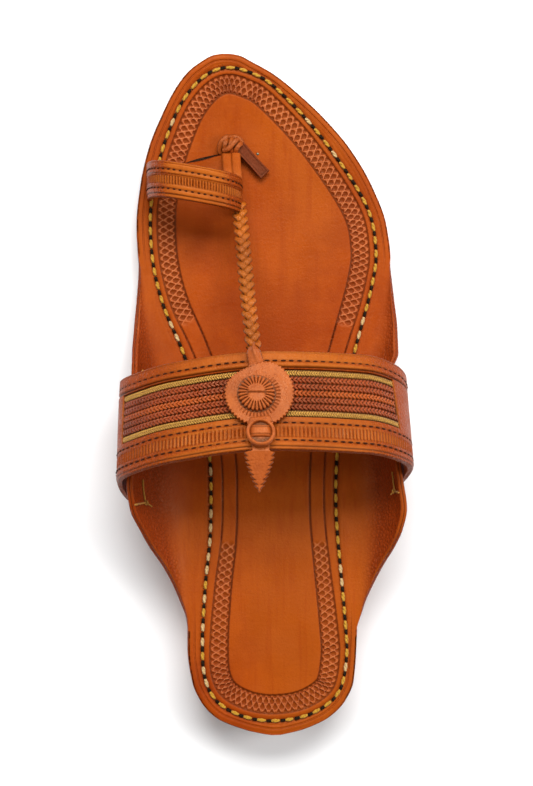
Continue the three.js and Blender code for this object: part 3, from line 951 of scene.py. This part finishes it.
# Lines along the band, in millimetres from its toe edge.
DASH_ROWS = (4.4, 30.9, 38.2)
BAND_CREASE = 7.0
WINDOW = (8.0, 28.4)
WINDOW_ANGLES = (14.5, 150.5)  # degrees round the arch
WINDOW_SLANT = 4.0  # degrees that the lateral end leans from toe edge to heel edge
TICKS = (32.5, 36.8)
TICK_PITCH = 1.6
LAYER_LINE = 40.7
GOLD_ROWS = (9.6, 26.9)
DARK_PLAITS = (12.5, 15.4, 21.1, 24.0)
BRIGHT_PLAIT = (18.25,)
DASH_PITCH = 3.3


def arc_length(angles):
    """Length round the middle of the band's outer face up to each angle."""
    return travelled(band_point(angles, 0.5))


def tick_relief(s, w, low, high, pitch, depth):
    """Upright punched ticks between two lines, and the painted shade in their cuts and rails."""
    body = smooth_step(low - 0.1, low + 0.4, w) * smooth_step(high + 0.1, high - 0.4, w)
    cut = ridge(s / pitch, 0.24) * body
    rails = 0.5 * (bell(w - low, 0.25) + bell(w - high, 0.25))
    return -depth * (cut + rails), np.clip(cut + rails, 0, 1)


def rounded_edge(distance, radius):
    """Drop of a rounded edge at a distance inwards from it."""
    near = np.clip(distance, 0, radius)
    return -(radius - np.sqrt(np.clip(radius**2 - (radius - near) ** 2, 0, None)))


def within(low, high, soft, value):
    """1 between two limits and 0 outside them, with soft steps."""
    return smooth_step(low - soft, low + soft, value) * smooth_step(high + soft, high - soft, value)


def band_shape():
    angles = np.linspace(*BAND_SPAN, 700)
    creases = [BAND_CREASE + dw for dw in (-0.3, 0.0, 0.3)]
    creases += [w + dw for w in WINDOW for dw in (-0.15, 0.0, 0.15)]
    rims = [0.15, 0.4, 0.8]
    w = np.concatenate([np.linspace(0, BAND_WIDTH, 96), creases, rims, BAND_WIDTH - np.array(rims)])
    angle, width = grid(angles, np.unique(np.round(w, 3)))
    s = arc_length(angles)
    reach = np.broadcast_to(s[:, None], width.shape)
    lean = WINDOW_SLANT * ((width - WINDOW[0]) / (WINDOW[1] - WINDOW[0]) - 0.5)
    window = within(*WINDOW, 0.12, width) * within(WINDOW_ANGLES[0], WINDOW_ANGLES[1] + lean, 0.25, angle)
    ticks, tick_dark = tick_relief(reach, width, *TICKS, TICK_PITCH, 0.42)
    dash = sum(groove(width - row, 0.5, 0.22) for row in DASH_ROWS)
    edge, ends = np.minimum(width, BAND_WIDTH - width), np.minimum(reach, s[-1] - reach)
    height = ticks + dash - 0.9 * window - 0.35 * smooth_step(LAYER_LINE, LAYER_LINE + 0.3, width)
    height = height + groove(width - BAND_CREASE, 0.42, 0.6) + groove(width - LAYER_LINE, 0.2, 0.35)
    height = height + groove(width - 1.0, 0.18, 0.15) + rounded_edge(edge, 0.7) + rounded_edge(ends, 0.7)
    height = height + 0.25 * np.sin(reach / 17.0) * np.sin(width / 11.0 + 0.6)
    shade = 0.5 * tick_dark - 1.6 * dash + 0.9 * window + 0.95 * bell(width - BAND_CREASE, 0.42)
    shade = shade + 0.85 * bell(width - LAYER_LINE, 0.25) + 0.4 * bell(edge, 0.45)
    shade = shade + 0.5 * bell(width - 1.0, 0.2)
    return slab(on_band(angle, width, height), on_band(angle, width, -BAND_THICKNESS), shade)


def dashes(rows, place, total, pitch, radius, share=0.62):
    """Rows of short thread dashes. place(s, row, lift) gives the point at a length along a row."""
    parts = []
    for row in rows:
        for k in range(int(total / pitch)):
            start = 1.6 + k * pitch + rng.uniform(-0.12, 0.12)
            end = start + share * pitch
            if end <= total - 1.2:
                a, b = place(start, row, 0.02), place(end, row, 0.02)
                up = place(start, row, 1.0) - a
                parts.append(capsule(a, b, radius, up, steps=5))
    return parts


def herringbone(row, angles, s, half, pitch, radius, lift):
    """A flat plait as two rows of slanted strands that meet in chevrons along its middle."""
    first, last = np.interp((WINDOW_ANGLES[0] + 0.6, WINDOW_ANGLES[1] - 0.2), angles, s)
    last += (row - sum(WINDOW) / 2) * 0.16
    parts = []

    def at(reach, width, height):
        return on_band(np.interp(reach, s, angles), width, height)

    for k in range(int((last - first) / pitch)):
        centre = first + (k + 0.5) * pitch
        up = at(centre, row, 1.0) - at(centre, row, 0.0)
        for sign in (-1, 1):
            inner = at(centre - 0.45 * pitch, row - sign * 0.12 * half, lift + 0.12)
            outer = at(centre + 0.75 * pitch, row + sign * half * 0.86, lift - 0.12)
            parts.append(capsule(inner, outer, radius, up, flat=0.75, steps=5, gap_shade=0.7))
    return parts


def make_band():
    build("band_leather", band_shape(), strap_leather, ["instep_band"])
    angles = np.linspace(*BAND_SPAN, 400)
    s = arc_length(angles)

    def place(reach, row, lift):
        return on_band(np.interp(reach, s, angles), row, lift - 0.12)

    parts = dashes(DASH_ROWS, place, s[-1], DASH_PITCH, 0.4)
    build("band_dashes", joined(parts), brown_thread)
    for name, rows, material in (
        ("band_plaits_dark", DARK_PLAITS, plait_leather),
        ("band_plait_bright", BRIGHT_PLAIT, plait_bright),
    ):
        parts = [p for row in rows for p in herringbone(row, angles, s, 1.42, 1.75, 0.62, -0.42)]
        build(name, joined(parts), material)
    parts = [p for row in GOLD_ROWS for p in herringbone(row, angles, s, 1.3, 1.05, 0.42, -0.4)]
    build("band_gold_braid", joined(parts), gold_braid)


# ---------------------------------------------------------------- ornaments on the band
def round_piece(name, spec, lift, relief, outline, replaces, rings=40, turns=300):
    """A round piece on the band. relief(r, a) gives height and painted shade, outline(a) the edge's factor.
    """
    r = np.concatenate([np.linspace(0.02, 0.93, rings), [0.95, 0.965, 0.98, 0.99, 1.0]])
    radius, angle = grid(r, around(turns))
    distance = radius * spec["radius"] * mix(1, outline(angle), smooth_step(0.75, 1.0, radius))
    height, shade = relief(distance, angle)
    height = lift + spec["thickness"] + height + rounded_edge((1 - radius) * spec["radius"], 0.45)
    x, y = spec["x"] + distance * np.cos(angle), spec["y"] + distance * np.sin(angle)
    sections = np.concatenate([over_band(x, y, height), over_band(x[-1:], y[-1:], lift)])
    shades = np.concatenate([shade, np.zeros((1, turns))])
    ends = np.array([height[0].mean(), lift])
    middles = over_band(np.full(2, spec["x"]), np.full(2, spec["y"]), ends)
    build(name, capped_loft(sections, shades, middles), trim_leather, replaces)


def make_medallion():
    teeth, radial = 54, 40
    inner = ROSETTE["radius"] + 0.3

    def relief(r, a):
        """Radial ticks round the rosette, clearer on its outer heel side."""
        x = r * np.cos(a) - (ROSETTE["x"] - MEDALLION["x"])
        y = r * np.sin(a) - (ROSETTE["y"] - MEDALLION["y"])
        from_rosette, turn = np.hypot(x, y), np.arctan2(y, x)
        ring = smooth_step(inner, inner + 0.4, from_rosette) * smooth_step(9.5, 8.9, from_rosette)
        tick = ridge(repeats(turn, radial), 0.2) * ring * (0.2 + 0.8 * smooth_step(-4, 3, x - y))
        # Round the rosette the disc dips, and a painted shadow of the rosette darkens it there.
        seat = smooth_step(inner + 0.5, inner - 0.1, from_rosette)
        return -0.4 * tick - 0.2 * seat, 0.45 * tick + 0.8 * seat

    def pinked(a):
        """Pinking teeth round an edge that is drawn in on the toe side."""
        shoulder = 0.2 * bell(np.degrees(a) - 115, 38)
        return 1 - shoulder - 0.11 * np.abs(repeats(a, teeth) % 1 - 0.5)

    round_piece("medallion_disc", MEDALLION, MEDALLION_LIFT, relief, pinked, ["medallion"], 56, 540)


def make_rosette():
    flutes = 26

    def relief(r, a):
        share = r / ROSETTE["radius"]
        flute = ridge(repeats(a, flutes), 0.2) * smooth_step(0.46, 0.58, share)
        x, y = r * np.cos(a), r * np.sin(a)
        crease = bell(y, 0.32) * smooth_step(3.6, 2.8, np.abs(x))
        gather = bell(np.abs(x) - 3.3, 0.4) * smooth_step(1.6, 0.8, np.abs(y))
        height = 0.5 - 0.9 * share**3 - 0.6 * flute - 0.45 * crease - 0.3 * gather
        # Painted shade in the flutes, the crease and the gathers.
        return height, 0.75 * flute + 0.7 * crease + 0.5 * gather

    def scalloped(a):
        return 1 - 0.1 * ridge(repeats(a, flutes), 0.22)

    round_piece("medallion_rosette", ROSETTE, ROSETTE_LIFT, relief, scalloped, ["rosette"], 44, 520)


def make_keeper():
    def relief(r, a):
        share = r / KEEPER["radius"]
        rim_up = smooth_step(0.74, 0.82, share)
        crown = 0.35 * bell(share - 0.9, 0.08) * rim_up
        # Painted shade in the hollow inside the ring.
        return crown - 0.2 - 1.25 * (1 - rim_up), 0.75 * (1 - rim_up) * smooth_step(0.2, 0.6, share)

    def oval(a):
        return 1 + 0.05 * np.abs(np.sin(a)) + 0.03 * np.cos(2 * a)

    round_piece("keeper_ring", KEEPER, ROSETTE_LIFT, relief, oval, ["keeper"], turns=200)
    u, v = grid(np.linspace(-1, 1, 41), np.linspace(-1, 1, 33))
    x, y = KEEPER["x"] + 3.9 * u, KEEPER["y"] + 0.5 + 2.3 * v
    pillow = (1 - u**4) * (1 - v**6)
    crease = bell(v - 0.62, 0.09) + bell(v + 0.55, 0.07)
    top = over_band(x, y, ROSETTE_LIFT + 0.6 + 1.25 * pillow - 0.22 * crease)
    # Painted shade in the loop's creases and round its sloping edges.
    loop = slab(top, over_band(x, y, ROSETTE_LIFT + 0.2), 0.6 * crease + 0.2 * (1 - pillow) ** 2)
    build("keeper_loop", loop, trim_leather)
    x, y = KEEPER["x"] - 0.1 + 4.4 * u * (1 - 0.12 * v), KEEPER["y"] + 5.1 + 1.3 * v + 0.5 * u
    pillow = (1 - u**6) * (1 - v**4)
    top = over_band(x, y, MEDALLION_LIFT + 1.5 + 0.55 * pillow)
    # Painted shade round the tab's sloping edges.
    tab = slab(top, over_band(x, y, MEDALLION_LIFT), 0.5 * (1 - pillow) ** 2)
    build("keeper_tab", tab, trim_leather)


TOOTH_PITCH = 1.85
TOOTH_DEPTH = 1.5
TIP_END = 118.8  # the toothed tip runs up to here, and a step leads to the narrower strip


def leaf_half_width(y):
    saw = TOOTH_DEPTH * (0.55 - ((TIP_END - y) / TOOTH_PITCH) % 1)
    toothed = smooth_step(104, 105, y) * (y < TIP_END)
    return along(LEAF, y, 1) + toothed * saw + 0.12 * np.sin(y * 5.2) * (y > 146)


def make_leaf():
    """The strip under the medallion: its neck wraps the braid's end, its tip is toothed."""
    y = np.concatenate([np.linspace(103.3, 119.4, 190), np.linspace(119.8, 161.8, 110)])
    y, u = grid(y, np.linspace(-1, 1, 25))
    half = leaf_half_width(y)
    x = MEDALLION["x"] - LEAF_LEAN * smooth_step(149, 159, y) - 0.5 * (y < LEAF_LEAVES_BAND) + u * half
    neck = smooth_step(150, 158, y)
    wrap = neck * smooth_step(158.5, 161.8, y)
    folds = 0.16 * neck * np.cos(u * 6.0 + 0.8 + y * 0.35)
    edge = (1 - np.abs(u)) * half
    height = LEAF_THICKNESS + folds + 1.9 * neck * (1 - u**2) - 0.7 * wrap + rounded_edge(edge, 0.35)
    # Painted shade in the neck's folds and where it wraps the braid; darker along its cut edges.
    shade = 0.35 * neck * ridge(u * 0.9 + 0.3 + y * 0.05, 0.1) + 0.45 * bell(edge, 0.3) + 0.25 * wrap
    leaf = slab(over_band(x, y, LEAF_LIFT + height), over_band(x, y, LEAF_LIFT), shade)
    build("leaf_strip", leaf, trim_leather, ["leaf"])


# ---------------------------------------------------------------- toe strap, braid and knot
def toe_strap_point(t, w, lift):
    """A point on the toe strap: t from the medial foot to the lateral one, w from its toe edge."""
    centre = (TOE_STRAP["medial"] + TOE_STRAP["lateral"]) / 2
    half = (TOE_STRAP["lateral"] - TOE_STRAP["medial"]) / 2 + lift

    def bend(value):
        return np.sign(value) * np.abs(value) ** TOE_STRAP["squareness"]

    x = centre - half * bend(np.cos(t * math.pi))
    share = (x - TOE_STRAP["medial"]) / (TOE_STRAP["lateral"] - TOE_STRAP["medial"])
    y = mix(TOE_STRAP["medial_y"], TOE_STRAP["lateral_y"], share) + TOE_STRAP["width"] / 2 - w
    z = insole_top(y) + GAP + (TOE_STRAP["rise"] + lift) * bend(np.sin(t * math.pi))
    return points_at(x, y, z)


# Lines along the toe strap, in millimetres from its toe edge.
STRAP_DASHES = (3.4, 11.3)
STRAP_CREASE = 5.2
STRAP_TICKS = (6.0, 9.4)
STRAP_TICK_PITCH = 1.25
STRAP_LAYER = 13.4


def make_toe_strap():
    width = TOE_STRAP["width"]
    t = np.linspace(0, 1, 900)
    reach = travelled(toe_strap_point(t, width / 2, 0))
    s = np.linspace(0, reach[-1], 420)
    t = np.interp(s, reach, t)
    w = np.concatenate([np.linspace(0, width, 58), [0.15, 0.3, width - 0.3, width - 0.15]])
    t_grid, w = grid(t, np.unique(np.round(w, 3)))
    ticks, tick_dark = tick_relief(s[:, None], w, *STRAP_TICKS, STRAP_TICK_PITCH, 0.42)
    dash = sum(groove(w - row, 0.45, 0.28) for row in STRAP_DASHES)
    edge = np.minimum(w, width - w)
    height = ticks + dash + groove(w - STRAP_CREASE, 0.22, 0.25) + groove(w - STRAP_LAYER, 0.2, 0.3)
    height = height - 0.3 * smooth_step(STRAP_LAYER, STRAP_LAYER + 0.25, w) + groove(w - 1.1, 0.2, 0.2)
    height = height + rounded_edge(edge, 0.6)
    shade = 0.6 * tick_dark - 1.3 * dash + 0.6 * bell(w - STRAP_CREASE, 0.28)
    shade = shade + 0.85 * bell(w - STRAP_LAYER, 0.25) + 0.4 * bell(edge, 0.4)
    bottom = toe_strap_point(t_grid, w, -TOE_STRAP["thickness"])
    strap = slab(toe_strap_point(t_grid, w, height), bottom, shade)
    build("toe_strap_leather", strap, strap_leather, ["toe_strap"])

    def place(length, row, lift):
        return toe_strap_point(np.interp(length, s, t), row, lift - 0.1)

    parts = dashes(STRAP_DASHES, place, s[-1], 2.6, 0.36, share=0.5)
    build("toe_strap_dashes", joined(parts), brown_thread)


BRAID_STRAND = 2.8  # width of each of its three strands
BRAID_SWAY = 1.755  # how far each swings to either side
BRAID_TURN = 12.6  # length in which a strand crosses over and back


def make_braid():
    """Three flat strands plaited from the toe strap to the leaf."""
    path, s, _ = spline(BRAID_PATH, 260)
    tangent = unit(np.gradient(path, axis=0))
    across = unit(np.cross(tangent, (0, 0, 1)))
    lift = unit(np.cross(across, tangent))
    parts = []
    for strand in range(3):
        phase = 2 * math.pi * (s[:, None] / BRAID_TURN + strand / 3)
        sway = BRAID_SWAY * (np.sin(phase) - 0.11 * np.sin(3 * phase))
        line = path + across * sway - lift * 0.9 * np.sin(2 * phase)
        parts.append(tube(line, (BRAID_STRAND / 2, 0.8), sides=14, up=(0, 0.35, 1), gap_shade=1.0))
    build("braid_strands", joined(parts), braid_leather, ["braid"])


KNOT_CORE = ((-18.0, 247.0, 1.8), (-11.6, 247.6, 1.8))
KNOT_STRANDS = (
    # x, y and height above the insole along each strand
    [(-17.4, 243.4, 1.4), (-19.4, 245.4, 3), (-18.9, 248.6, 4.4), (-16.6, 250.9, 4.2), (-14.8, 250.9, 2.2)],
    [(-15.6, 251.2, 2.2), (-16.9, 248.9, 5.0), (-17.3, 246.6, 4.8), (-16.2, 243.9, 2.4)],
    [(-13.4, 251.4, 2.4), (-14.6, 249.2, 5.4), (-14.9, 246.6, 5.4), (-14.2, 243.6, 2.4)],
    [(-17.9, 245.2, 4.4), (-15.8, 246.0, 5.9), (-12.8, 249.2, 5.7), (-11.2, 251.0, 3.0)],
    [(-15.2, 250.9, 3.6), (-12.3, 250.8, 4.6), (-10.2, 249.0, 3.8), (-9.9, 246.4, 1.8)],
    [(-13.0, 243.4, 2.0), (-12.5, 245.6, 4.8), (-11.2, 247.6, 4.9), (-9.7, 248.6, 2.6)],
)
THONG_THICKNESS = 1.2
TAIL_DARK = ((-12.2, 248.2, 3.6), (-9.8, 245.9, 2.6), (-5.4, 241.2, 1.7), (0, 235.5, 1.1))
TAIL_TAN = ((-15.5, 239.9, 1.6), (-19, 239.2, 1.3), (-26, 237.5, 1.0), (-32.6, 235.9, 0.5))
TIE_LOOP = ((0.5, 230.5, 22), (0.2, 233.2, 24), (0, 236.2, 22.4), (0, 240, 18.6), (0, 244, 15.6))


def above_insole(points, y):
    """Points whose heights count from the insole's top at y."""
    return np.array(points) + (0, 0, float(insole_top(y)))


def make_knot():
    strands = []
    for points in KNOT_STRANDS:
        path = spline(above_insole(points, 247), 44)[0]
        strands.append(tube(path, (1.15, 0.75), sides=14, gap_shade=1.0))
    start, end = above_insole(KNOT_CORE, 247)
    core = capsule(start, end, 3.1, (0, 0, 1), 0.6, steps=14, sides=16, gap_shade=1.0)
    build("thong_knot", joined([*strands, core]), knot_leather, ["knot"])
    loops = []
    for x, lean in ((-16.4, -0.1), (-12.6, 0.0)):
        path = np.array(TIE_LOOP) + (x, 0, 0)
        path[3:, 0] += lean
        loops.append(tube(spline(path, 50)[0], (1.95, 0.8), sides=14, gap_shade=0.4))
    build("tie_strands", joined(loops), tie_leather, ["tie_loop"])


def thong_tail(points, width, rim_line):
    """A flat thong end that lies in a soft curve, with a cut end; rim_line creases it inside its edge."""
    path, s, total = spline(above_insole(points, 245), 90)
    ahead = unit(np.gradient(path, axis=0))
    side = unit(np.cross((0, 0, 1), ahead))
    s, u = grid(s, np.linspace(-1, 1, 27))
    offset = width / 2 * (1 + 0.04 * np.sin(s / 2.3)) * u
    edge = np.minimum((1 - np.abs(u)) * width / 2, total - s)
    crease = rim_line * bell(edge - 0.95, 0.22)
    bottom = path[:, None] + side[:, None] * offset[..., None]
    bottom[..., 2] += 0.3 * u**2
    top = bottom.copy()
    top[..., 2] += THONG_THICKNESS + rounded_edge(edge, 0.4) - 0.2 * crease
    return slab(top, bottom, 0.8 * crease + 0.25 * rim_line * smooth_step(0.6, 1.6, edge))


def make_tails():
    tail = thong_tail(TAIL_DARK, 4.9, 0.5)
    build("tail_dark", tail, thong_leather, ["tail_lateral"])
    tail = thong_tail(TAIL_TAN, 8.2, 0)
    build("tail_tan", tail, insole_leather, ["tail_medial"])
    # A dark sheet along the slit: painted shade standing in for the shadow inside the slot.
    u, v = grid(np.linspace(0, 1, 40), np.linspace(-1, 1, 7))
    y = mix(240.5, 244.3, u) + 0.75 * v * np.sqrt(np.sin(math.pi * np.clip(u, 0.02, 0.98)))
    top = points_at(mix(-33.4, -17.2, u), y, insole_top(y) + 0.1)
    build("thong_slit_shade", slab(top, top - (0, 0, 0.6), np.ones_like(u)), thong_leather)


# ---------------------------------------------------------------- small threads and tack
def ear_point(y, side, t, lift):
    return side_curve(np.asarray(y), side, t, INSOLE_THICKNESS + lift)[0]


def tie(side, low, high, t, tail):
    """Thread through the ear: a long stitch, a hitch over the rim, a small knot and its cut end."""
    long_stitch = [ear_point(mix(low, high, k), side, t, 0.3) for k in np.linspace(0, 1, 5)]
    hitch = [ear_point(low - 0.4 * k, side, mix(t, 1, k), 0.35) for k in (0, 0.5, 1.0)]
    over = hitch[-1] + (-0.9 if side == 1 else 0.9, -0.1, -1.4)
    knot = ear_point(low, side, t, 0.7)
    ring = around(24)
    coil = knot + points_at(0.5 * np.cos(ring), 0.7 * np.sin(ring), 0.25 * np.sin(2 * ring))
    end = [knot, knot + np.array([*tail, 0.2]) / 2, knot + (*tail, 0)]
    return [
        tube(spline(long_stitch, 24)[0], (0.4, 0.34), sides=7),
        tube(spline([*hitch, over], 24)[0], (0.4, 0.34), sides=7),
        tube(coil, (0.38, 0.38), sides=7, closed=True),
        tube(spline(end, 12)[0], (0.28, 0.28), sides=6),
    ]


def make_ear_ties():
    parts = tie(1, 97.5, 107, 0.75, (2.4, -1.6)) + tie(1, 148.5, 152.5, 0.8, (0.8, 1.2))
    parts += tie(2, 102, 110, 0.86, (-1.4, -1.4)) + tie(2, 152, 156, 0.85, (-0.8, 1.2))
    build("ear_ties", joined(parts), tie_thread)


def make_tack():
    centre = above_insole((-3.1, 244.6, 0.1), 244.6)
    reach = (0.55, 0, 0)
    head = capsule(centre - reach, centre + reach, 0.55, (0, 0, 1), flat=0.5, steps=8, sides=10)
    build("insole_tack", head, brass)


# ---------------------------------------------------------------- studio
CAMERA_HEIGHT = 813  # above the floor, over the midpoint of the pair
CAMERA_X = -58.4
CAMERA_Y = 133.3
FRAME_SHARE = 0.86  # of the picture's height that the sandal fills
SENSOR = 36
AIM = (0.5, LENGTH / 2, 14)
FLOOR_HALF = 3.0  # metres


def make_camera():
    data = bpy.data.cameras.new("camera")
    camera = bpy.data.objects.new("camera", data)
    bpy.context.scene.collection.objects.link(camera)
    place = (np.array([CAMERA_X, CAMERA_Y, CAMERA_HEIGHT]) + SHIFT) * MM
    target = (np.array(AIM) + SHIFT) * MM
    camera.location = place
    look = Vector(target - place)
    back = -look.normalized()
    right = Vector((0, 1, 0)).cross(back).normalized()
    up = back.cross(right)
    camera.rotation_euler = Matrix((right, up, back)).transposed().to_euler()
    data.sensor_width = SENSOR
    data.lens = SENSOR * look.length / (LENGTH * MM / FRAME_SHARE)
    data.clip_end = 20
    bpy.context.scene.camera = camera


def area_light(name, place, size, power):
    """A soft rectangular light aimed at the middle of the floor."""
    data = bpy.data.lights.new(name, "AREA")
    data.shape = "RECTANGLE"
    data.size, data.size_y = size
    data.energy = power
    light = bpy.data.objects.new(name, data)
    light.location = place
    light.rotation_euler = (-Vector(place)).to_track_quat("-Z", "Y").to_euler()
    bpy.context.scene.collection.objects.link(light)


def make_studio():
    mesh = bpy.data.meshes.new("floor")
    corners = [(FLOOR_HALF * x, FLOOR_HALF * y, 0) for x, y in ((-1, -1), (1, -1), (1, 1), (-1, 1))]
    mesh.from_pydata(corners, [], [(0, 1, 2, 3)])
    floor = bpy.data.objects.new("floor", mesh)
    n = Nodes("floor_paper")
    n.shader.inputs["Base Color"].default_value = (0.93, 0.93, 0.93, 1)
    n.shader.inputs["Roughness"].default_value = 0.9
    n.shader.inputs["Specular IOR Level"].default_value = 0.1
    mesh.materials.append(n.material)
    bpy.context.scene.collection.objects.link(floor)
    world = bpy.data.worlds.new("studio")
    world.use_nodes = True
    background = world.node_tree.nodes["Background"]
    background.inputs["Color"].default_value = (1, 1, 1, 1)
    background.inputs["Strength"].default_value = 0.26
    bpy.context.scene.world = world
    area_light("key", (0.0, 0.8, 1.15), (1.1, 0.6), 25)
    area_light("side_left", (-1.05, 0.0, 0.8), (0.5, 1.0), 4)
    area_light("side_right", (1.05, 0.1, 0.8), (0.5, 1.0), 9)
    bpy.context.scene.view_settings.view_transform = "Standard"


make_camera()
make_studio()
make_sole()
make_band()
make_medallion()
make_rosette()
make_keeper()
make_leaf()
make_toe_strap()
make_braid()
make_knot()
make_tails()
make_ear_ties()
make_tack()
